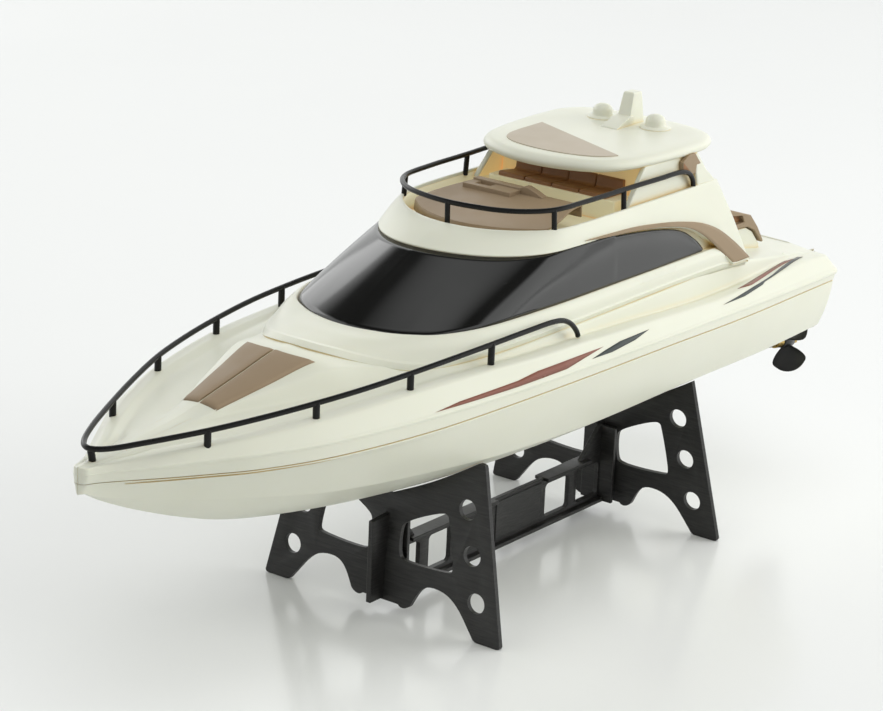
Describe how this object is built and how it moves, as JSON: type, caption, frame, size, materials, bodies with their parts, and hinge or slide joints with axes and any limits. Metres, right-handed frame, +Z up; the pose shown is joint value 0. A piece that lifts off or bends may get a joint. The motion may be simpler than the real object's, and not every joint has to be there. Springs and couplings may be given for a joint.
{
  "type": "rc motor yacht",
  "caption": "Radio-controlled cream motor yacht with black wraparound glazing, flybridge under a hardtop, bow rail and twin propellers, resting on a slotted black display stand.",
  "frame": {"origin": "on the table under the middle of the object's length and width", "axes": "+X towards the bow, +Y to port, +Z up"},
  "size_m": [0.4645, 0.1302, 0.1955],
  "materials": {
    "stand": "fine grained black moulding",
    "hull": "cream, semi-gloss",
    "deck": "cream, semi-gloss",
    "taupe": "satin taupe",
    "seat": "satin dark brown",
    "rail": "satin black",
    "glazing": "polished black",
    "black": "matte",
    "board": "green solder mask",
    "steel": "bright",
    "brass": "bright",
    "antenna": "insulated wire",
    "cell": "shrink film",
    "propeller": "satin black",
    "coupling": "flexible sleeve"
  },
  "bodies": {
    "stand": {"stand_front_plate": "stand", "stand_rear_plate": "stand", "stand_beam": "stand"},
    "boat": {"hull_shell": "hull", "deck_shell": "deck", "foredeck_hatch": "taupe", "bow_rail": "rail", "aft_seat_pad": "taupe", "aft_seat_base": "deck", "battery_tray": "black", "receiver_tray": "black", "receiver_board": "board", "speed_controller": "black", "receiver_crystal_can": "steel", "receiver_antenna": "antenna", "power_switch_body": "black", "switch_bracket": "black", "motor_port": "steel", "motor_starboard": "steel", "motor_bracket_port": "steel", "motor_bracket_starboard": "steel", "stern_tube_port": "brass", "stern_tube_starboard": "brass", "shaft_bush_port": "brass", "shaft_bush_starboard": "brass"},
    "power_switch": {"power_switch_slider": "black"},
    "battery": {"battery_pack": "cell"},
    "cabin": {"cabin_cover": "deck", "cabin_glazing": "glazing", "arch_trim_port": "taupe", "arch_trim_starboard": "taupe", "helm_dash": "taupe", "helm_console": "seat", "bench_base": "deck", "bench_seat": "seat", "hardtop_support_port": "deck", "hardtop_support_starboard": "deck", "side_louvre_port": "taupe", "side_louvre_starboard": "taupe", "hardtop": "deck", "roof_panel": "taupe", "radar_dome_port": "deck", "radar_dome_starboard": "deck", "mast": "deck", "fly_rail": "rail"},
    "port_drive": {"propeller_port": "propeller", "propeller_nut_port": "brass", "propeller_shaft_port": "steel", "shaft_coupling_port": "coupling", "motor_spindle_port": "steel"},
    "starboard_drive": {"propeller_starboard": "propeller", "propeller_nut_starboard": "brass", "propeller_shaft_starboard": "steel", "shaft_coupling_starboard": "coupling", "motor_spindle_starboard": "steel"}
  },
  "joints": [
    {"name": "boat_lift", "type": "slide", "parent": "stand", "child": "boat", "axis": [0, 0, 1], "range_m": [0, 0.12]},
    {"name": "cabin_lift", "type": "slide", "parent": "boat", "child": "cabin", "axis": [0, 0, 1], "range_m": [0, 0.1]},
    {"name": "battery_lift", "type": "slide", "parent": "boat", "child": "battery", "axis": [0, 0, 1], "range_m": [0, 0.05]},
    {"name": "port_propeller_spin", "type": "hinge", "parent": "boat", "child": "port_drive", "pos_m": [-0.224, 0.027, 0.062], "axis": [0.9903, 0, 0.1392], "continuous": true},
    {"name": "starboard_propeller_spin", "type": "hinge", "parent": "boat", "child": "starboard_drive", "pos_m": [-0.224, -0.027, 0.062], "axis": [0.9903, 0, 0.1392], "continuous": true},
    {"name": "power_switch_slide", "type": "slide", "parent": "boat", "child": "power_switch", "axis": [1, 0, 0], "range_m": [0, 0.004]}
  ]
}
